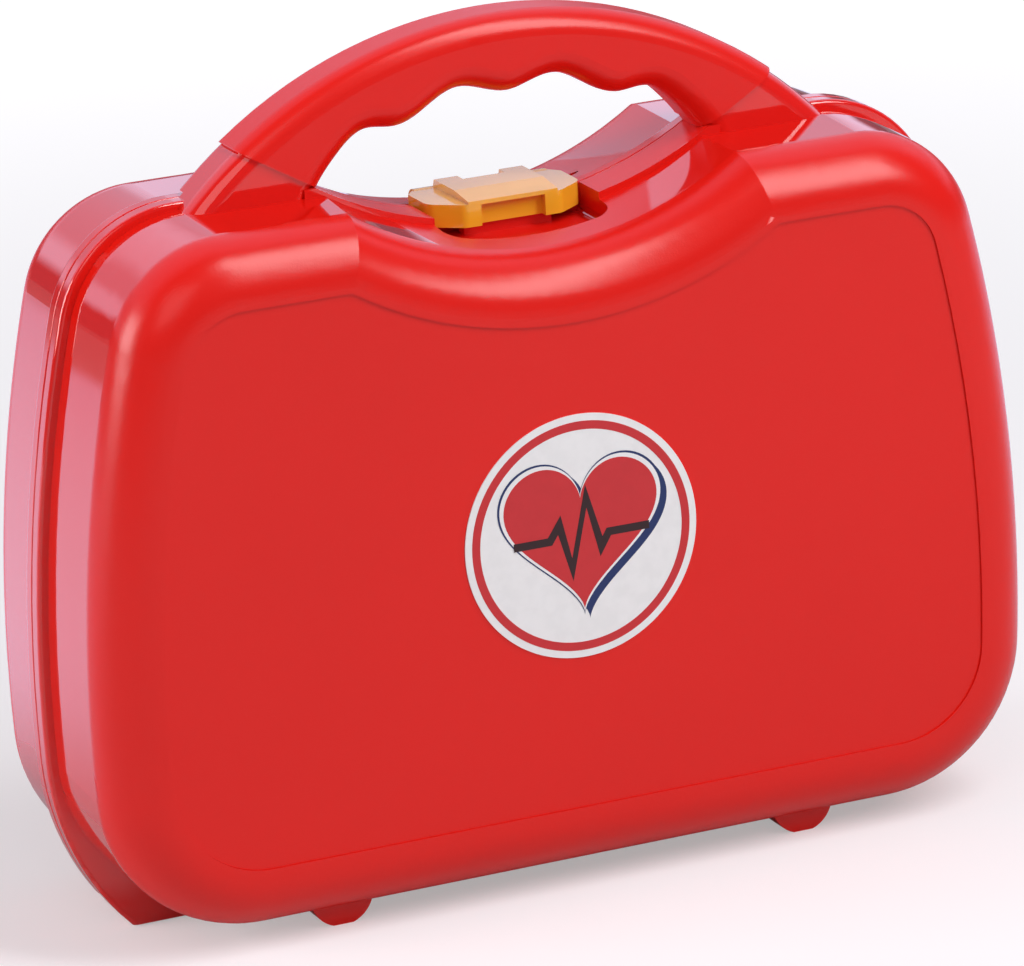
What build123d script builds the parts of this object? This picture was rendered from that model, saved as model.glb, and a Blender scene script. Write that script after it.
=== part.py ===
from build123d import *
from math import cos, radians, sin
import os

# Toy doctor case in moulded plastic. Millimetres. +X to the right, +Y to the back, +Z up.
# The origin is on the floor, midway along the case, in the plane where its two halves meet.
# The front half is on the -Y side and carries the handle. The back half carries the clasp.

# ---- the two halves ----
DEPTH = 39.0                # parting plane to front face, and to back face
GAP = 0.3                   # the dark line between the halves
WALL = 2.4                  # moulded wall
SIDE_R = 372.0              # bulge of the long sides
WIDEST_Z = 58.3             # height at which the case is widest
RIM_DEPTH = 4.0             # thickness of the flange on each half
RIM_ROUND = 1.0             # rounds on the outer edges of the flange
RIM_LINE_ROUND = 0.4        # the smaller one is at the parting line
FRONT_ROUND = 13.5          # round between the side walls and the face

# Each outline: half width, bottom, top, lowest point and radius of the dip,
# then the radii of the bottom corners, the top corners and the lips of the dip.
RIM = dict(half_width=120.5, bottom=-20.0, top=170.0, dip_low=156.4, dip_radius=95.0,
           bottom_round=66.0, top_round=30.0, lip_round=6.0)
BODY_AT_RIM = dict(half_width=118.2, bottom=5.0, top=168.2, dip_low=155.7, dip_radius=92.0,
                   bottom_round=40.0, top_round=28.5, lip_round=14.0)
BODY_AT_FACE = dict(half_width=116.6, bottom=5.2, top=167.2, dip_low=151.6, dip_radius=85.3,
                    bottom_round=35.0, top_round=28.0, lip_round=22.0)
PANEL = dict(half_width=102.3, bottom=21.4, top=152.7, dip_low=137.4, dip_radius=99.5,
             bottom_round=22.0, top_round=14.0, lip_round=9.0)
# The inside keeps the wall's thickness, but for 5 mm in the dip and for the rail above the hinge.
CAVITY_AT_RIM = dict(half_width=115.8, bottom=11.0, top=165.8, dip_low=150.7, dip_radius=97.0,
                     bottom_round=36.0, top_round=26.1, lip_round=9.0)
CAVITY_AT_FACE = dict(half_width=114.2, bottom=7.6, top=164.8, dip_low=146.6, dip_radius=90.3,
                      bottom_round=32.6, top_round=25.6, lip_round=17.0)
PANEL_STEP = 0.5            # the face is sunk by this much inside its border

# ---- seat of the clasp, in the dip ----
SEAT_DEPTH = 11.0           # parting plane to the edge of the seat
SEAT_HALF = 52.0            # the seat ends under the feet of the handle
POCKET_HALF = 20.6
POCKET_FRONT = 19.5
POCKET_BACK = 14.2
POCKET_ROUND = 5.0
POCKET_FLOOR_ROUND = 1.5
POCKET_FLOOR = 152.0
SEAT_FLOOR = 153.9          # floor of the pocket in the back half
PAD_BOTTOM = 148.6          # underside of the local thickening below the pocket
PAD_SIDE = 2.5              # the thickening reaches past the sides of the pocket by this much
PAD_END = 3.0               # and past its ends by this much
SINK = 0.5                  # features start this far inside the solid that they stand on
CATCH_HALF = 11.0
CATCH_FRONT = 5.2
CATCH_BACK = 2.4
CATCH_TOP = 155.6

# ---- feet ----
FOOT_X = 59.1
FOOT_R = 7.8
FOOT_AXIS_Z = 7.4           # the foot is cut flat at the floor
FOOT_NEAR = 15.0
FOOT_FAR = 27.2

# ---- main hinge, along the bottom edge ----
HINGE_Z = 3.0
KNUCKLE_R = 2.6
KNUCKLE = 13.0              # length of a knuckle
KNUCKLE_GAP = 0.3
HINGE_OUTER = 101.0
PIN_R = 1.0
PIN_FIT = 0.05              # radial play of a pin in its hole
FLANGE_BOTTOM = 6.2         # the flange stops here, clear of the knuckles that turn below it
CORNER_CLEAR = 8.2          # the back flange stops here, clear of the corners of the front one
HINGE_ROOM = 5.0            # the hinge's room, to each side of the parting plane
FLOOR_GAP = 0.4             # the hinge side of the flange hangs just above the floor

# ---- handle ----
HANDLE_TOP = 203.3
HANDLE_R = 111.0            # the outer curve of the handle is one arc
HANDLE_FRONT = 11.5
HANDLE_BACK = 3.5           # the handle hangs over the rim of the back half by this much
HANDLE_FOOT = 167.4
OVERHANG_Z = 171.0
GRIP_ROUND = 5.5
GRIP_BACK_ROUND = 2.0
GRIP_STEP = 0.8             # the grip stands proud of the two feet of the handle
GRIP_END = [(40.0, 164.8), (90.0, 194.3)]   # the step follows this line, right half
GRIP_EDGE = [(49.5, 166.0), (46.6, 171.0), (42.2, 176.2), (35.5, 180.9), (28.0, 180.5),
             (20.5, 183.4), (12.0, 187.3), (5.5, 186.0)]     # right half, foot to middle
GRIP_MIDDLE = 184.8
HOLLOW_OUTER_R = 108.6      # hollow in the back of the handle
HOLLOW_INNER_R = 98.0
HOLLOW_LOW = 174.5
COVER_FIT = 0.15
COVER_THICK = 1.8
BOSS_ANGLES = (-24, 0, 24)  # degrees from the top, about the centre of the handle's arc
BOSS_R = 3.2
PEG_R = 1.5
PEG_LENGTH = 5.0

# ---- clasp ----
CLASP_PIVOT_Y = 10.2
CLASP_PIVOT_Z = 157.2
CLASP_BARREL_R = 3.0
CLASP_HALF = 19.3
BARREL_HALF = 16.8
CLASP_FRONT = 9.0
CLASP_EAR_TOP = 160.0
CLASP_TOP = 161.6
CLASP_BOTTOM = 154.6
PLATE_HALF = 11.2
CLASP_FRONT_HALF = 12.0     # straight part of the front edge
CLASP_EAR_FRONT = 3.4       # parting plane to the front of the ears
CLASP_EAR_BACK = 7.0
CLASP_FRONT_ROUND = 3.0
CLASP_EAR_ROUND = 4.0
PLATE_FLAT_FRONT = 1.0      # the raised plate slopes down in front of this
PLATE_LIP = 1.0             # height that it loses down to the front edge
PLATE_BACK = 2.4            # it ends this far behind the pivot
PLATE_BACK_FLAT = 0.5
LUG_HALF = 5.0
LUG_R = 2.5
LUG_SIDE_GAP = 0.3
NOTCH_HALF = 8.0
NOTCH_DEPTH = 2.2
NOTCH_TOP = 159.6
CLASP_SKIN = 158.2          # ceiling of the hollow under the clasp
CLASP_HOLLOW = [(11.0, -5.6), (16.9, -2.4), (16.9, 6.0)]    # outline of that hollow, right half
CLASP_PIN_HALF = 16.0

# ---- label ----
LABEL_R = 29.0
LABEL_Z = 86.75
LABEL_THICK = 0.3

os.makedirs("parts", exist_ok=True)


def case_outline(half_width, bottom, top, dip_low, dip_radius, bottom_round, top_round, lip_round):
    """Outline of the case seen from the front: bulging sides, flat top with a dip in the middle."""
    for side in (1, -1):
        middle = Location((side * (half_width - SIDE_R), WIDEST_Z, 0), (0, 0, 180 if side == 1 else 0))
        with Locations(middle):
            Circle(SIDE_R, mode=Mode.ADD if side == 1 else Mode.INTERSECT)
    with Locations((0, (bottom + top) / 2)):
        Rectangle(3 * half_width, top - bottom, mode=Mode.INTERSECT)
    with Locations((0, dip_low + dip_radius)):
        Circle(dip_radius, mode=Mode.SUBTRACT)
    fillet(vertices().group_by(Axis.Y)[0], bottom_round)
    upper = vertices().group_by(Axis.Y)[-1].sort_by(Axis.X)
    lips = ShapeList([upper[1], upper[2]])
    fillet(ShapeList([upper[0], upper[3]]), top_round)
    fillet(lips, lip_round)


def flange():
    """Flange of the front half, cut off just above the floor, with its outer edges rounded."""
    with BuildPart() as rim:
        with BuildSketch(Plane.XZ.offset(GAP / 2)):
            case_outline(**RIM)
            with Locations((0, FLOOR_GAP - 50)):
                Rectangle(400, 100, mode=Mode.SUBTRACT)
        extrude(amount=RIM_DEPTH - GAP / 2)
        for side, size in ((0, RIM_ROUND), (-1, RIM_LINE_ROUND)):
            outer = faces().sort_by(Axis.Y)[side].edges()
            fillet(outer.filter_by(lambda edge: edge.center().Z > FLOOR_GAP + 1), size)
    return rim.part


def half_shell():
    """Outside of the front half: body, flange and feet, without handle, seat and hinge."""
    with BuildPart() as half:
        with BuildSketch(Plane.XZ.offset(GAP / 2)):
            case_outline(**BODY_AT_RIM)
        with BuildSketch(Plane.XZ.offset(DEPTH)):
            case_outline(**BODY_AT_FACE)
        loft(ruled=True)
        fillet(faces().sort_by(Axis.Y)[0].edges(), FRONT_ROUND)
        with BuildSketch(Plane.XZ.offset(DEPTH)):
            case_outline(**PANEL)
        extrude(amount=-PANEL_STEP, mode=Mode.SUBTRACT)
        add(FLANGE)
        for x in (-FOOT_X, FOOT_X):
            with BuildSketch(Plane.XZ.offset(FOOT_NEAR)):
                with Locations((x, FOOT_AXIS_Z)):
                    Circle(FOOT_R)
                with Locations((x, -FOOT_R)):
                    Rectangle(4 * FOOT_R, 2 * FOOT_R, mode=Mode.SUBTRACT)
            extrude(amount=FOOT_FAR - FOOT_NEAR)
    return half.part


def cavity():
    """Inside space of the front half."""
    with BuildPart() as inside:
        with BuildSketch(Plane.XZ.offset(0)):
            case_outline(**CAVITY_AT_RIM)
        with BuildSketch(Plane.XZ.offset(DEPTH - WALL - PANEL_STEP)):
            case_outline(**CAVITY_AT_FACE)
        loft(ruled=True)
        fillet(faces().sort_by(Axis.Y)[0].edges(), FRONT_ROUND - WALL)
    return inside.part


def handle_arch(inset):
    """Solid of the handle, from foot to foot, with its finger grips. inset shrinks it all round."""
    middle_z = HANDLE_TOP - HANDLE_R
    left = [(-x - inset, z) for x, z in GRIP_EDGE]
    right = [(x + inset, z) for x, z in reversed(GRIP_EDGE)]
    with BuildPart() as arch:
        with BuildSketch(Plane.XZ.offset(-HANDLE_BACK)):
            with Locations((0, middle_z)):
                Circle(HANDLE_R - inset)
            with Locations((0, HANDLE_FOOT + 50)):
                Rectangle(2 * HANDLE_R, 100, mode=Mode.INTERSECT)
            with BuildLine():
                Spline(*left, (0, GRIP_MIDDLE), *right)
                Polyline(left[0], (left[0][0], HANDLE_FOOT - 10), (-left[0][0], HANDLE_FOOT - 10), right[-1])
            make_face(mode=Mode.SUBTRACT)
        extrude(amount=HANDLE_BACK + HANDLE_FRONT - inset)
        for side, size in ((0, GRIP_ROUND - inset), (-1, GRIP_BACK_ROUND)):
            rim = faces().sort_by(Axis.Y)[side].edges()
            fillet(rim.filter_by(lambda edge: edge.center().Z > HANDLE_FOOT + 1), size)
        with Locations((0, (GAP + 2 * HANDLE_BACK) / 2 - GAP, OVERHANG_Z - 10)):
            Box(300, GAP + 2 * HANDLE_BACK, 20, mode=Mode.SUBTRACT)
    return arch.part


def grip_zone():
    """The space above the two steps of the handle."""
    with BuildPart() as zone:
        with BuildSketch(Plane.XZ.offset(-20)):
            with BuildLine():
                right = [*GRIP_END, (GRIP_END[1][0], HANDLE_TOP + 20)]
                Polyline(*right, *[(-x, z) for x, z in reversed(right)], close=True)
            make_face()
        extrude(amount=40)
    return zone.part


def handle_band(shrink, near, far):
    """Band that follows the handle's arc, for the hollow in its back and the cover that closes it."""
    middle_z = HANDLE_TOP - HANDLE_R
    with BuildPart() as band:
        with BuildSketch(Plane.XZ.offset(near)):
            with Locations((0, middle_z)):
                Circle(HOLLOW_OUTER_R - shrink)
                Circle(HOLLOW_INNER_R + shrink, mode=Mode.SUBTRACT)
            with Locations((0, HOLLOW_LOW + shrink + 50)):
                Rectangle(2 * HANDLE_R, 100, mode=Mode.INTERSECT)
        extrude(amount=far - near)
    return band.part


def boss_places():
    """Centres of the bosses in the handle, seen from the front."""
    radius = (HOLLOW_OUTER_R + HOLLOW_INNER_R) / 2
    return [(radius * sin(radians(a)), HANDLE_TOP - HANDLE_R + radius * cos(radians(a))) for a in BOSS_ANGLES]


def hinge_row(owner):
    """X centre of each knuckle of one half, counted from the outer end. Even ones are the front's."""
    centres = []
    for index in range(3):
        if (index % 2 == 0) == (owner == "front"):
            centres.append(HINGE_OUTER - KNUCKLE / 2 - index * (KNUCKLE + KNUCKLE_GAP))
    return [-x for x in centres] + centres


def knuckles(owner):
    """Knuckles of one half with the webs that carry them."""
    side = -1 if owner == "front" else 1
    with BuildPart() as row:
        for x in hinge_row(owner):
            with BuildSketch(Plane.YZ.offset(x - KNUCKLE / 2)):
                with Locations((0, HINGE_Z)):
                    Circle(KNUCKLE_R)
                with Locations((side * (KNUCKLE_R + GAP / 2) / 2, HINGE_Z + 3)):
                    Rectangle(KNUCKLE_R - GAP / 2, 6)
            extrude(amount=KNUCKLE)
    return row.part


def hinge_cut(owner):
    """Room for the hinge in one half: the flange is cut back wherever the other half turns through it."""
    corner = HINGE_OUTER - KNUCKLE
    with BuildPart() as room:
        with Locations((0, 0, FLANGE_BOTTOM - 10)):
            Box(2 * corner, 2 * HINGE_ROOM, 20)
        if owner == "back":
            for side in (-1, 1):
                with Locations((side * (corner - KNUCKLE_GAP + 20), 0, CORNER_CLEAR - 10)):
                    Box(40, 2 * HINGE_ROOM, 20)
    return room.part


def pin_holes():
    """Holes for the two hinge pins, closed at their outer ends."""
    with BuildPart() as holes:
        inner_end = HINGE_OUTER - 3 * KNUCKLE - 3 * KNUCKLE_GAP
        outer_end = HINGE_OUTER - 1.2
        for side in (-1, 1):
            with Locations((side * (inner_end + outer_end) / 2, 0, HINGE_Z)):
                Cylinder(PIN_R + PIN_FIT, outer_end - inner_end, rotation=(0, 90, 0))
    return holes.part


def clasp_pocket(front, floor_z):
    """Pocket that the clasp lies in, open upwards. front is the y of its front end."""
    with BuildPart() as pocket:
        with BuildSketch(Plane.XY.offset(floor_z)):
            with Locations((0, (front + POCKET_BACK) / 2)):
                Rectangle(2 * POCKET_HALF, POCKET_BACK - front)
            fillet(vertices(), POCKET_ROUND)
        extrude(amount=30)
        fillet(faces().sort_by(Axis.Z)[0].edges(), POCKET_FLOOR_ROUND)
    return pocket.part


FLANGE = flange()
HALF = half_shell()
CAVITY = cavity()
ZONE = grip_zone()
GRIP = handle_arch(0.0) & ZONE
HANDLE_FEET = handle_arch(GRIP_STEP) - ZONE

with BuildPart() as front_shell:
    add(HALF)
    with BuildSketch(Plane.XZ.offset(GAP / 2)):
        case_outline(**RIM)
        with Locations((0, RIM["top"] - 10)):
            Rectangle(2 * SEAT_HALF, 20, mode=Mode.INTERSECT)
    extrude(amount=SEAT_DEPTH - GAP / 2)
    add(HANDLE_FEET)
    add(GRIP)
    add(hinge_cut("front"), mode=Mode.SUBTRACT)
    add(knuckles("front"))
    add(CAVITY, mode=Mode.SUBTRACT)
    add(handle_band(0.0, -HANDLE_BACK - 1, HANDLE_FRONT - WALL), mode=Mode.SUBTRACT)
    with BuildSketch(Plane.XZ.offset(HANDLE_FRONT - WALL + SINK)):
        with Locations(*boss_places()):
            Circle(BOSS_R)
    extrude(amount=-(HANDLE_FRONT - WALL + SINK + HANDLE_BACK - COVER_THICK - COVER_FIT))
    with BuildSketch(Plane.XZ.offset(HANDLE_FRONT - WALL - 1.0)):
        with Locations(*boss_places()):
            Circle(PEG_R + PIN_FIT)
    extrude(amount=-20, mode=Mode.SUBTRACT)
    with Locations((0, -(POCKET_FRONT + PAD_END + GAP) / 2, (PAD_BOTTOM + POCKET_FLOOR + SINK) / 2)):
        Box(2 * (POCKET_HALF + PAD_SIDE), POCKET_FRONT + PAD_END, POCKET_FLOOR + SINK - PAD_BOTTOM)
    add(clasp_pocket(-POCKET_FRONT, POCKET_FLOOR), mode=Mode.SUBTRACT)
    with Locations((0, -(CATCH_FRONT + CATCH_BACK) / 2, (POCKET_FLOOR - SINK + CATCH_TOP) / 2)):
        Box(2 * CATCH_HALF, CATCH_FRONT - CATCH_BACK, CATCH_TOP - POCKET_FLOOR + SINK)
    add(pin_holes(), mode=Mode.SUBTRACT)
front_shell.part.label = "front_shell"
export_step(front_shell.part, "parts/front_shell.step")

with BuildPart() as back_shell:
    add(HALF.mirror(Plane.XZ))
    add(hinge_cut("back"), mode=Mode.SUBTRACT)
    add(knuckles("back"))
    add(CAVITY.mirror(Plane.XZ), mode=Mode.SUBTRACT)
    with Locations((0, (POCKET_BACK + PAD_END + GAP) / 2, (PAD_BOTTOM + SEAT_FLOOR) / 2)):
        Box(2 * (POCKET_HALF + PAD_SIDE), POCKET_BACK + PAD_END, SEAT_FLOOR - PAD_BOTTOM)
    add(clasp_pocket(-POCKET_BACK, SEAT_FLOOR), mode=Mode.SUBTRACT)
    with BuildSketch(Plane.YZ.offset(-LUG_HALF)):
        with Locations((CLASP_PIVOT_Y, CLASP_PIVOT_Z)):
            Circle(LUG_R)
        with Locations((CLASP_PIVOT_Y, (CLASP_PIVOT_Z + SEAT_FLOOR - SINK) / 2)):
            Rectangle(2 * LUG_R, CLASP_PIVOT_Z - SEAT_FLOOR + SINK)
    extrude(amount=2 * LUG_HALF)
    with Locations((0, CLASP_PIVOT_Y, CLASP_PIVOT_Z)):
        Cylinder(PIN_R + PIN_FIT, 60, rotation=(0, 90, 0), mode=Mode.SUBTRACT)
    add(pin_holes(), mode=Mode.SUBTRACT)
back_shell.part.label = "back_shell"
export_step(back_shell.part, "parts/back_shell.step")

with BuildPart() as handle_cover:
    add(handle_band(COVER_FIT, -HANDLE_BACK, -HANDLE_BACK + COVER_THICK))
    with BuildSketch(Plane.XZ.offset(-HANDLE_BACK + COVER_THICK)):
        with Locations(*boss_places()):
            Circle(PEG_R)
    extrude(amount=PEG_LENGTH)
handle_cover.part.label = "handle_cover"
export_step(handle_cover.part, "parts/handle_cover.step")

with BuildPart() as clasp:
    with BuildSketch(Plane.XY.offset(CLASP_BOTTOM)):
        with BuildLine():
            outline = [(CLASP_FRONT_HALF, -CLASP_FRONT), (CLASP_HALF, -CLASP_EAR_FRONT),
                       (CLASP_HALF, CLASP_EAR_BACK), (BARREL_HALF, CLASP_PIVOT_Y)]
            Polyline(*outline, *[(-x, y) for x, y in reversed(outline)], close=True)
        make_face()
        fillet(vertices().group_by(Axis.Y)[0], CLASP_FRONT_ROUND)
        fillet(vertices().filter_by(lambda v: abs(v.Y + CLASP_EAR_FRONT) < 0.01), CLASP_EAR_ROUND)
    extrude(amount=CLASP_EAR_TOP - CLASP_BOTTOM)
    with BuildSketch(Plane.YZ.offset(-BARREL_HALF)):
        with Locations((CLASP_PIVOT_Y, CLASP_PIVOT_Z)):
            Circle(CLASP_BARREL_R)
    extrude(amount=2 * BARREL_HALF)
    with BuildSketch(Plane.YZ.offset(-PLATE_HALF)):
        with BuildLine():
            Polyline((-CLASP_FRONT, CLASP_EAR_TOP - SINK), (-CLASP_FRONT, CLASP_TOP - PLATE_LIP),
                     (-PLATE_FLAT_FRONT, CLASP_TOP), (CLASP_PIVOT_Y + PLATE_BACK_FLAT, CLASP_TOP),
                     (CLASP_PIVOT_Y + PLATE_BACK, CLASP_PIVOT_Z),
                     (CLASP_PIVOT_Y, CLASP_EAR_TOP - SINK), close=True)
        make_face()
    extrude(amount=2 * PLATE_HALF)
    with BuildSketch(Plane.XY.offset(CLASP_BOTTOM)):
        with Locations((0, -CLASP_FRONT + NOTCH_DEPTH / 2)):
            Rectangle(2 * NOTCH_HALF, NOTCH_DEPTH)
    extrude(amount=NOTCH_TOP - CLASP_BOTTOM, mode=Mode.SUBTRACT)
    with BuildSketch(Plane.XY.offset(CLASP_BOTTOM - 1)):
        with BuildLine():
            Polyline(*CLASP_HOLLOW, *[(-x, y) for x, y in reversed(CLASP_HOLLOW)], close=True)
        make_face()
    extrude(amount=CLASP_SKIN - CLASP_BOTTOM + 1, mode=Mode.SUBTRACT)
    with Locations((0, CLASP_PIVOT_Y - LUG_R - LUG_SIDE_GAP + 10, CLASP_PIVOT_Z)):
        Box(2 * (LUG_HALF + LUG_SIDE_GAP), 20, 20, mode=Mode.SUBTRACT)
    with Locations((0, CLASP_PIVOT_Y, CLASP_PIVOT_Z)):
        Cylinder(PIN_R + PIN_FIT, 60, rotation=(0, 90, 0), mode=Mode.SUBTRACT)
clasp.part.label = "clasp"
export_step(clasp.part, "parts/clasp.step")

with BuildPart() as clasp_pin:
    with Locations((0, CLASP_PIVOT_Y, CLASP_PIVOT_Z)):
        Cylinder(PIN_R, 2 * CLASP_PIN_HALF, rotation=(0, 90, 0))
clasp_pin.part.label = "clasp_pin"
export_step(clasp_pin.part, "parts/clasp_pin.step")

for side, name in ((-1, "hinge_pin_left"), (1, "hinge_pin_right")):
    with BuildPart() as hinge_pin:
        inner_end = HINGE_OUTER - 3 * KNUCKLE - 2 * KNUCKLE_GAP + 0.5
        outer_end = HINGE_OUTER - 1.5
        with Locations((side * (inner_end + outer_end) / 2, 0, HINGE_Z)):
            Cylinder(PIN_R, outer_end - inner_end, rotation=(0, 90, 0))
    hinge_pin.part.label = name
    export_step(hinge_pin.part, f"parts/{name}.step")

with BuildPart() as front_label:
    with BuildSketch(Plane.XZ.offset(DEPTH - PANEL_STEP)):
        with Locations((0, LABEL_Z)):
            Circle(LABEL_R)
    extrude(amount=LABEL_THICK)
front_label.part.label = "front_label"
export_step(front_label.part, "parts/front_label.step")
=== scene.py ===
from math import cos, pi, radians, sin

import bmesh
import bpy
from mathutils import Matrix, Vector

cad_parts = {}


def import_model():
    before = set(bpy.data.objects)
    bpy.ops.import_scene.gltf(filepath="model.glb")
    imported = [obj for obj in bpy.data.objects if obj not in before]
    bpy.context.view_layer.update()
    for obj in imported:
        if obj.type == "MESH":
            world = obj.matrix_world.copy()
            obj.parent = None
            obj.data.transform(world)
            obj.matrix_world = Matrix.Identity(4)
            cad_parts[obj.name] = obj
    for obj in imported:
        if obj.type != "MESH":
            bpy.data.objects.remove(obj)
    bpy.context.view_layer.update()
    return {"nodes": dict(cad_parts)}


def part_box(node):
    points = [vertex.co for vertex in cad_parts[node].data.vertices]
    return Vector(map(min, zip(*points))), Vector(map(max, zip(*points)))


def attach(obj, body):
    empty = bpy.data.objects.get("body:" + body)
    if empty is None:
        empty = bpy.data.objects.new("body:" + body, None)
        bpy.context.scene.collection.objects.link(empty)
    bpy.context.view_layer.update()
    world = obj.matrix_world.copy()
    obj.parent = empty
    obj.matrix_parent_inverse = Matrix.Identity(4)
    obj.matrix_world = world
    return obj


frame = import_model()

# Toy doctor case in moulded plastic. Metres, in the frame of the CAD model:
# +X to the right, +Y to the back, +Z up, floor at 0, halves of the case meeting at Y = 0.

NODES = frame["nodes"]
MM = 0.001

# ---- camera, fitted to the photograph ----
CAMERA_PLACE = (-0.5995, -1.3880, 0.5614)
CAMERA_AZIMUTH = 23.365     # degrees, turned to the right of +Y
CAMERA_DOWN = 17.348        # degrees below the horizon
CAMERA_ROLL = -2.786
CAMERA_LENS = 238.92        # millimetres, on a sensor 36 mm wide

# ---- places on the case, from the CAD model ----
FACE_START = 0.0255         # distance from the parting plane at which the grained face starts
GRIP_STEP_X = 0.040         # the step between the grip and the feet of the handle passes here
GRIP_STEP_Z = 0.1648
GRIP_STEP_SLOPE = 0.59
SEAT_FRONT = 0.0108         # the top of the seat between the feet of the handle is grained too
SEAT_REACH = 0.056
SEAT_LOW = 0.1555
FACE_BORDER = 0.002         # widths of the borders between grained and polished
GRIP_BORDER = 0.0004
SEAM = 0.0003
CASE_MIDDLE = (0.0, 0.0, 0.09)
LABEL_CENTRE = sum(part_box("front_label"), Vector()) / 2
LABEL_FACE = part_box("front_label")[0].y

# ---- colours, as linear values ----
RED = (0.80, 0.010, 0.005)
RED_DARK = (0.62, 0.008, 0.004)
YELLOW = (0.92, 0.47, 0.025)
STEEL = (0.55, 0.55, 0.57)
LABEL_WHITE = (0.90, 0.89, 0.88)
LABEL_RED = (0.62, 0.025, 0.030)
LABEL_NAVY = (0.012, 0.030, 0.130)
LABEL_INK = (0.030, 0.008, 0.010)
FLOOR = (0.62, 0.61, 0.63)
WHITE = (1.0, 1.0, 1.0)
SKY = (0.97, 0.95, 1.05)        # tint of the light that comes from all round
GLOSS_TINT = (0.92, 0.92, 1.20)     # tint of what the polished plastic reflects

# ---- surface of the red plastic: texture scales, depths in metres and roughness ----
GRAIN_SCALE = 1900.0
WAVE_SCALE = 55.0
CLOUD_SCALE = 14.0
CLOUD_SHARE = 0.12          # share of the clouded red in the colour
GRAIN_DEPTH = 0.00006
WAVE_DEPTH = 0.00004
POLISHED_ROUGH = 0.05
GRAINED_ROUGH = 0.19        # added where it is grained
UNEVEN_ROUGH = 0.03

# ---- light level ----
SKY_LEVEL = 0.30
FLOOR_LIFT_NEAR = 0.38      # added to the floor for the camera, close to the case
FLOOR_LIFT_FAR = 0.85       # and far from it
FLOOR_NEAR = 0.25           # distances from the case between which that grows
FLOOR_FAR = 1.2
FLOOR_REFLECTED_GLOW = (0.45, 0.42, 0.65)    # painted reflection light: glow added to the floor behind the case, seen only in the polished plastic
GLOW_START = 0.10          # that light begins at this distance from the case
GLOW_END = 1.2             # and fades from this one, over the next
GLOW_FADE = 0.2
FRONT = -0.15               # the bright part of the set starts between these two, along Y
BEHIND = 0.25
ROOM_LEVEL = 0.10           # what the polished plastic mirrors in front of the case
SKY_GLOSS = 0.50            # and what is added to it behind the case, from the foot of the wall up
WALL_FOOT = 7.0             # degrees above the horizon
WALL_TOP = 15.0
WALL_LEVEL = 0.45           # added between the foot and the top of the wall
CEILING = 25.0              # degrees
CEILING_LEVEL = 0.40        # added above that angle
BAND_EDGE = 2.5             # half the soft edge of a band, in degrees


# ---- node helpers ----
class Nodes:
    """Short way to add nodes to a material or a world."""

    def __init__(self, tree):
        self.tree = tree
        tree.nodes.clear()

    def add(self, kind, **values):
        node = self.tree.nodes.new(kind)
        for key, value in values.items():
            setattr(node, key, value)
        return node

    def link(self, source, target):
        self.tree.links.new(source, target)

    def put(self, socket, value):
        if isinstance(value, (int, float, tuple)):
            socket.default_value = value
        else:
            self.link(value, socket)

    def math(self, operation, a, b=0.0):
        node = self.add("ShaderNodeMath", operation=operation)
        self.put(node.inputs[0], a)
        self.put(node.inputs[1], b)
        return node.outputs[0]

    def ramp(self, value, low, high, to_low=0.0, to_high=1.0):
        node = self.add("ShaderNodeMapRange", interpolation_type="SMOOTHSTEP")
        for index, entry in enumerate((value, low, high, to_low, to_high)):
            self.put(node.inputs[index], entry)
        return node.outputs[0]

    def mix(self, factor, a, b):
        node = self.add("ShaderNodeMix", data_type="RGBA")
        self.put(node.inputs["Factor"], factor)
        for name, value in (("A", a), ("B", b)):
            socket = [s for s in node.inputs if s.name == name and s.type == "RGBA"][0]
            self.put(socket, value)
        return [s for s in node.outputs if s.type == "RGBA"][0]

    def noise(self, place, scale, detail=2.0, roughness=0.5):
        node = self.add("ShaderNodeTexNoise")
        self.link(place, node.inputs["Vector"])
        node.inputs["Scale"].default_value = scale
        node.inputs["Detail"].default_value = detail
        node.inputs["Roughness"].default_value = roughness
        return node.outputs["Fac"]


def material(name):
    made = bpy.data.materials.new(name)
    made.use_nodes = True
    return made, Nodes(made.node_tree)


def rgba(colour):
    return (*colour, 1.0)


def finish_shader(n, colour, roughness, normal, specular=0.5, coat=0.0, coat_roughness=0.03):
    shader = n.add("ShaderNodeBsdfPrincipled")
    n.put(shader.inputs["Base Color"], colour)
    n.put(shader.inputs["Roughness"], roughness)
    n.put(shader.inputs["Normal"], normal)
    shader.inputs["Specular IOR Level"].default_value = specular
    n.put(shader.inputs["Coat Weight"], coat)
    shader.inputs["Coat Roughness"].default_value = coat_roughness
    out = n.add("ShaderNodeOutputMaterial")
    n.link(shader.outputs[0], out.inputs["Surface"])


def bump(n, height, distance, strength):
    node = n.add("ShaderNodeBump")
    n.put(node.inputs["Height"], height)
    node.inputs["Distance"].default_value = distance
    n.put(node.inputs["Strength"], strength)
    return node.outputs["Normal"]


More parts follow.
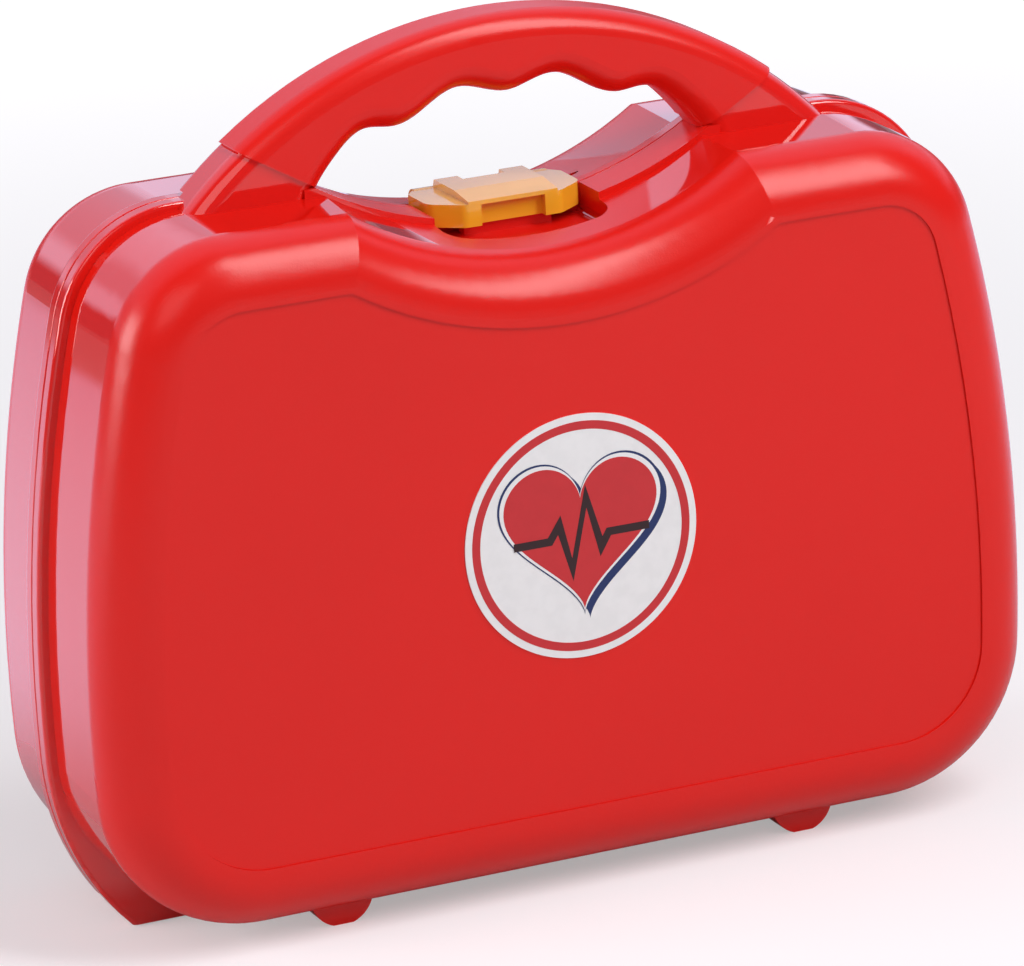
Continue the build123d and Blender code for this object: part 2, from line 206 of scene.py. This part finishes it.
# ---- materials ----
def red_plastic():
    """Moulded red plastic: spark-eroded grain on the faces and the grip, polished elsewhere."""
    made, n = material("red_plastic")
    place = n.add("ShaderNodeTexCoord").outputs["Object"]
    split = n.add("ShaderNodeSeparateXYZ")
    n.link(place, split.inputs[0])
    x, y, z = split.outputs
    face = n.ramp(n.math("ABSOLUTE", y), FACE_START, FACE_START + FACE_BORDER)
    step = n.math("MULTIPLY", n.math("SUBTRACT", n.math("ABSOLUTE", x), GRIP_STEP_X), GRIP_STEP_SLOPE)
    past_step = n.math("SUBTRACT", z, n.math("ADD", step, GRIP_STEP_Z))
    grip = n.ramp(past_step, 0.0, GRIP_BORDER)
    seat = n.ramp(y, -SEAT_FRONT, -SEAT_FRONT + SEAM)
    seat = n.math("MULTIPLY", seat, n.ramp(y, -SEAM, 0.0, 1.0, 0.0))
    seat = n.math("MULTIPLY", seat, n.ramp(n.math("ABSOLUTE", x), SEAT_REACH, SEAT_REACH + SEAM, 1.0, 0.0))
    seat = n.math("MULTIPLY", seat, n.ramp(z, SEAT_LOW, SEAT_LOW + SEAM))
    grained = n.math("MAXIMUM", n.math("MAXIMUM", face, grip), seat)
    grain = n.noise(place, GRAIN_SCALE, detail=3.0, roughness=0.6)
    waves = n.noise(place, WAVE_SCALE, detail=1.0)
    clouds = n.noise(place, CLOUD_SCALE, detail=2.0)
    colour = n.mix(n.ramp(clouds, 0.3, 0.7), rgba(RED), rgba(RED_DARK))
    colour = n.mix(CLOUD_SHARE, rgba(RED), colour)
    rough = n.math("MULTIPLY", grained, GRAINED_ROUGH)
    rough = n.math("ADD", rough, n.math("MULTIPLY", grain, UNEVEN_ROUGH))
    rough = n.math("ADD", rough, POLISHED_ROUGH)
    polish = n.math("SUBTRACT", 1.0, grained)
    height = n.math("MULTIPLY", n.math("MULTIPLY", grain, grained), 0.5)
    fine = bump(n, height, GRAIN_DEPTH, 1.0)
    soft = n.add("ShaderNodeBump")
    n.link(waves, soft.inputs["Height"])
    n.link(fine, soft.inputs["Normal"])
    soft.inputs["Distance"].default_value = WAVE_DEPTH
    soft.inputs["Strength"].default_value = 0.6
    finish_shader(n, colour, rough, soft.outputs["Normal"], specular=0.42, coat=polish)
    return made


def yellow_plastic():
    """Glossy yellow plastic with faint flow marks."""
    made, n = material("yellow_plastic")
    place = n.add("ShaderNodeTexCoord").outputs["Object"]
    flow = n.noise(place, 90.0, detail=2.0)
    colour = n.mix(n.ramp(flow, 0.35, 0.65), rgba(YELLOW), rgba([c * 0.93 for c in YELLOW]))
    rough = n.ramp(flow, 0.3, 0.7, 0.14, 0.20)
    finish_shader(n, colour, rough, bump(n, flow, 0.00004, 0.5), coat=0.8)
    return made


def steel():
    """Drawn wire, scored along its length."""
    made, n = material("steel_pin")
    place = n.add("ShaderNodeTexCoord").outputs["Object"]
    squeeze = n.add("ShaderNodeMapping")
    squeeze.inputs["Scale"].default_value = (0.05, 1.0, 1.0)
    n.link(place, squeeze.inputs["Vector"])
    lines = n.noise(squeeze.outputs[0], 4000.0, detail=3.0)
    shader = n.add("ShaderNodeBsdfPrincipled")
    shader.inputs["Base Color"].default_value = rgba(STEEL)
    shader.inputs["Metallic"].default_value = 1.0
    n.link(n.ramp(lines, 0.3, 0.7, 0.2, 0.4), shader.inputs["Roughness"])
    out = n.add("ShaderNodeOutputMaterial")
    n.link(shader.outputs[0], out.inputs["Surface"])
    return made


def printed_film(name, colour):
    """Printed label film with a slightly uneven gloss."""
    made, n = material(name)
    place = n.add("ShaderNodeTexCoord").outputs["Object"]
    film = n.noise(place, 320.0, detail=3.0)
    tone = n.mix(n.ramp(film, 0.3, 0.7), rgba(colour), rgba([c * 0.96 for c in colour]))
    finish_shader(n, tone, n.ramp(film, 0.3, 0.7, 0.30, 0.38), bump(n, film, 0.00001, 0.5))
    return made


RED_PLASTIC = red_plastic()
YELLOW_PLASTIC = yellow_plastic()
STEEL_PIN = steel()
FILM_WHITE = printed_film("label_white", LABEL_WHITE)
FILM_RED = printed_film("label_red", LABEL_RED)
FILM_NAVY = printed_film("label_navy", LABEL_NAVY)
FILM_INK = printed_film("label_ink", LABEL_INK)

CAD_FINISH = {
    "front_shell": RED_PLASTIC,
    "back_shell": RED_PLASTIC,
    "handle_cover": RED_PLASTIC,
    "clasp": YELLOW_PLASTIC,
    "clasp_pin": STEEL_PIN,
    "hinge_pin_left": STEEL_PIN,
    "hinge_pin_right": STEEL_PIN,
    "front_label": FILM_WHITE,
}
for node_name, finish in CAD_FINISH.items():
    NODES[node_name].data.materials.clear()
    NODES[node_name].data.materials.append(finish)


# ---- the print on the label ----
def plate(name, loops, back, thick, finish):
    """Flat closed solid in the plane of the label. loops are outlines in millimetres from its centre:
    the first is the outer one, and a second one, if there is any, is its hole."""
    mesh = bpy.data.meshes.new(name)
    bm = bmesh.new()
    fronts = []
    for y in (back, back - thick):
        for loop in loops:
            ring = [bm.verts.new((LABEL_CENTRE.x + x * MM, y, LABEL_CENTRE.z + z * MM)) for x, z in loop]
            fronts.append(ring)
    half = len(loops)
    for low, high in zip(fronts[:half], fronts[half:]):
        for i in range(len(low)):
            j = (i + 1) % len(low)
            bm.faces.new((low[i], low[j], high[j], high[i]))
    for rings in (fronts[:half], fronts[half:]):
        if half == 1:
            bm.faces.new(rings[0])
        else:
            outer, inner = rings
            for i in range(len(outer)):
                j = (i + 1) % len(outer)
                bm.faces.new((outer[i], outer[j], inner[j], inner[i]))
    bmesh.ops.recalc_face_normals(bm, faces=bm.faces)
    bm.to_mesh(mesh)
    bm.free()
    mesh.materials.append(finish)
    piece = bpy.data.objects.new(name, mesh)
    bpy.context.scene.collection.objects.link(piece)
    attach(piece, "front_half")


def circle(radius, count=128):
    return [(radius * cos(2 * pi * i / count), radius * sin(2 * pi * i / count)) for i in range(count)]


def heart(width, dx=0.0, dz=0.0, count=128):
    """Heart of this width, centred on the label but for the shift."""
    scale = width / 32.0
    points = []
    for i in range(count):
        t = 2 * pi * i / count
        x = 16 * sin(t) ** 3
        z = 13 * cos(t) - 5 * cos(2 * t) - 2 * cos(3 * t) - cos(4 * t)
        points.append((x * scale + dx, (z + 2.5) * scale + dz))
    return points


def pulse_line(width):
    """Zigzag of constant thickness, as on a heart monitor."""
    middle = [(-17.0, 0.0), (-8.0, 0.0), (-5.5, 3.6), (-2.6, -7.6),
              (1.4, 9.4), (4.8, -3.2), (6.8, 0.0), (17.0, 0.0)]
    upper, lower = [], []
    for i, point in enumerate(middle):
        here = Vector(point)
        before = (here - Vector(middle[i - 1])).normalized() if i else None
        after = (Vector(middle[i + 1]) - here).normalized() if i < len(middle) - 1 else None
        along = ((before or after) + (after or before)).normalized()
        across = Vector((-along.y, along.x))
        stretch = 1 / max(across.dot(Vector((-(after or before).y, (after or before).x))), 0.35)
        upper.append(tuple(here + across * width / 2 * stretch))
        lower.append(tuple(here - across * width / 2 * stretch))
    return upper + lower[::-1]


LAYER = 0.04 * MM
plate("label_ring", [circle(27.3), circle(25.3)], LABEL_FACE, LAYER, FILM_RED)
plate("label_shadow", [heart(41.0, 1.3, -1.3)], LABEL_FACE, LAYER, FILM_NAVY)
plate("label_outline", [heart(41.4)], LABEL_FACE - LAYER, LAYER, FILM_NAVY)
plate("label_edge", [heart(40.4)], LABEL_FACE - 2 * LAYER, LAYER, FILM_WHITE)
plate("label_heart", [heart(38.4)], LABEL_FACE - 3 * LAYER, LAYER, FILM_RED)
plate("label_pulse", [pulse_line(1.9)], LABEL_FACE - 4 * LAYER, LAYER, FILM_INK)


# ---- floor, light and camera ----
def seen_rays(n):
    """1 for the rays of the camera and for those through clear pieces, and 1 for mirrored rays."""
    path = n.add("ShaderNodeLightPath")
    straight = n.math("MAXIMUM", path.outputs["Is Camera Ray"], path.outputs["Is Transmission Ray"])
    return straight, path.outputs["Is Glossy Ray"]


def behind(n, vector):
    """0 in front of the case and 1 behind it, for a place on the floor or a direction."""
    split = n.add("ShaderNodeSeparateXYZ")
    n.link(vector, split.inputs[0])
    return n.ramp(split.outputs[1], FRONT, BEHIND)


def glow(n, colour, strength):
    shader = n.add("ShaderNodeEmission")
    shader.inputs["Color"].default_value = rgba(colour)
    n.put(shader.inputs["Strength"], strength)
    return shader.outputs[0]


def floor():
    """Pale floor that keeps the shadow of the case. It is lifted to white for the camera. Where it lies
    behind the case, it also glows a little for the polished plastic alone: a painted reflection light that
    no lamp gives."""
    mesh = bpy.data.meshes.new("floor")
    bm = bmesh.new()
    bmesh.ops.create_grid(bm, x_segments=1, y_segments=1, size=6.0)
    bm.to_mesh(mesh)
    bm.free()
    made, n = material("floor_paper")
    straight, mirrored = seen_rays(n)
    place = n.add("ShaderNodeTexCoord").outputs["Object"]
    reach = n.add("ShaderNodeVectorMath", operation="LENGTH")
    n.link(place, reach.inputs[0])
    reach = reach.outputs["Value"]
    lift = n.ramp(reach, FLOOR_NEAR, FLOOR_FAR, FLOOR_LIFT_NEAR, FLOOR_LIFT_FAR)
    # painted reflection light: the floor glows for mirrored rays alone, behind the case, between these
    # distances
    reflected_glow = n.ramp(reach, GLOW_START, FLOOR_NEAR)
    reflected_glow = n.math("MULTIPLY", reflected_glow, n.ramp(reach, GLOW_END, GLOW_END + GLOW_FADE, 1.0, 0.0))
    reflected_glow = n.math("MULTIPLY", reflected_glow, behind(n, place))
    paper = n.add("ShaderNodeBsdfDiffuse")
    paper.inputs["Color"].default_value = rgba(FLOOR)
    first, second = n.add("ShaderNodeAddShader"), n.add("ShaderNodeAddShader")
    n.link(paper.outputs[0], first.inputs[0])
    n.link(glow(n, WHITE, n.math("MULTIPLY", straight, lift)), first.inputs[1])
    n.link(first.outputs[0], second.inputs[0])
    n.link(glow(n, FLOOR_REFLECTED_GLOW, n.math("MULTIPLY", mirrored, reflected_glow)), second.inputs[1])
    out = n.add("ShaderNodeOutputMaterial")
    n.link(second.outputs[0], out.inputs["Surface"])
    mesh.materials.append(made)
    piece = bpy.data.objects.new("floor", mesh)
    bpy.context.scene.collection.objects.link(piece)


def above(n, rise, angle):
    """1 above this angle over the horizon, with a soft edge."""
    return n.ramp(rise, sin(radians(angle - BAND_EDGE)), sin(radians(angle + BAND_EDGE)))


def world():
    """White to the camera. The polished plastic mirrors a dim room in front of the case, and a pale wall
    and a pale ceiling behind it."""
    made = bpy.data.worlds.new("studio")
    bpy.context.scene.world = made
    made.use_nodes = True
    n = Nodes(made.node_tree)
    straight, mirrored = seen_rays(n)
    direction = n.add("ShaderNodeTexCoord").outputs["Generated"]
    split = n.add("ShaderNodeSeparateXYZ")
    n.link(direction, split.inputs[0])
    rise = split.outputs[2]
    bands = 0.0
    steps = ((WALL_FOOT, WALL_LEVEL + SKY_GLOSS), (WALL_TOP, -WALL_LEVEL), (CEILING, CEILING_LEVEL))
    for angle, change in steps:
        bands = n.math("ADD", bands, n.math("MULTIPLY", above(n, rise, angle), change))
    bands = n.math("ADD", n.math("MULTIPLY", bands, behind(n, direction)), ROOM_LEVEL)
    level = n.mix(mirrored, rgba([SKY_LEVEL * c for c in SKY]), (0, 0, 0, 1))
    level = n.mix(straight, level, rgba(WHITE))
    back, mirror = n.add("ShaderNodeBackground"), n.add("ShaderNodeBackground")
    n.link(level, back.inputs["Color"])
    mirror.inputs["Color"].default_value = rgba(GLOSS_TINT)
    n.link(n.math("MULTIPLY", bands, mirrored), mirror.inputs["Strength"])
    both = n.add("ShaderNodeAddShader")
    n.link(back.outputs[0], both.inputs[0])
    n.link(mirror.outputs[0], both.inputs[1])
    out = n.add("ShaderNodeOutputWorld")
    n.link(both.outputs[0], out.inputs["Surface"])


def softbox(name, place, aim, width, height, power):
    lamp = bpy.data.lights.new(name, "AREA")
    lamp.shape = "RECTANGLE"
    lamp.size = width
    lamp.size_y = height
    lamp.energy = power
    piece = bpy.data.objects.new(name, lamp)
    bpy.context.scene.collection.objects.link(piece)
    piece.location = place
    direction = Vector(aim) - Vector(place)
    piece.rotation_mode = "QUATERNION"
    piece.rotation_quaternion = direction.to_track_quat("-Z", "Y")
    piece.visible_camera = False


def camera():
    turn, down, roll = radians(CAMERA_AZIMUTH), radians(CAMERA_DOWN), radians(CAMERA_ROLL)
    forward = Vector((sin(turn) * cos(down), cos(turn) * cos(down), -sin(down)))
    level = Vector((cos(turn), -sin(turn), 0.0))
    upright = level.cross(forward)
    right = level * cos(roll) + upright * sin(roll)
    up = upright * cos(roll) - level * sin(roll)
    lens = bpy.data.cameras.new("camera")
    lens.sensor_width = 36.0
    lens.lens = CAMERA_LENS
    lens.clip_start = 0.05
    lens.clip_end = 30.0
    piece = bpy.data.objects.new("camera", lens)
    bpy.context.scene.collection.objects.link(piece)
    axes = Matrix((right, up, -forward)).transposed()
    piece.matrix_world = Matrix.Translation(CAMERA_PLACE) @ axes.to_4x4()
    bpy.context.scene.camera = piece


floor()
world()
softbox("key", (0.5, -0.7, 1.05), CASE_MIDDLE, 0.45, 1.1, 12.0)
softbox("side", (-1.3, 0.2, 0.45), CASE_MIDDLE, 0.6, 0.6, 8.0)
softbox("left", (-0.8, -1.1, 1.1), CASE_MIDDLE, 0.9, 0.9, 3.0)
camera()

bpy.context.scene.view_settings.view_transform = "Standard"
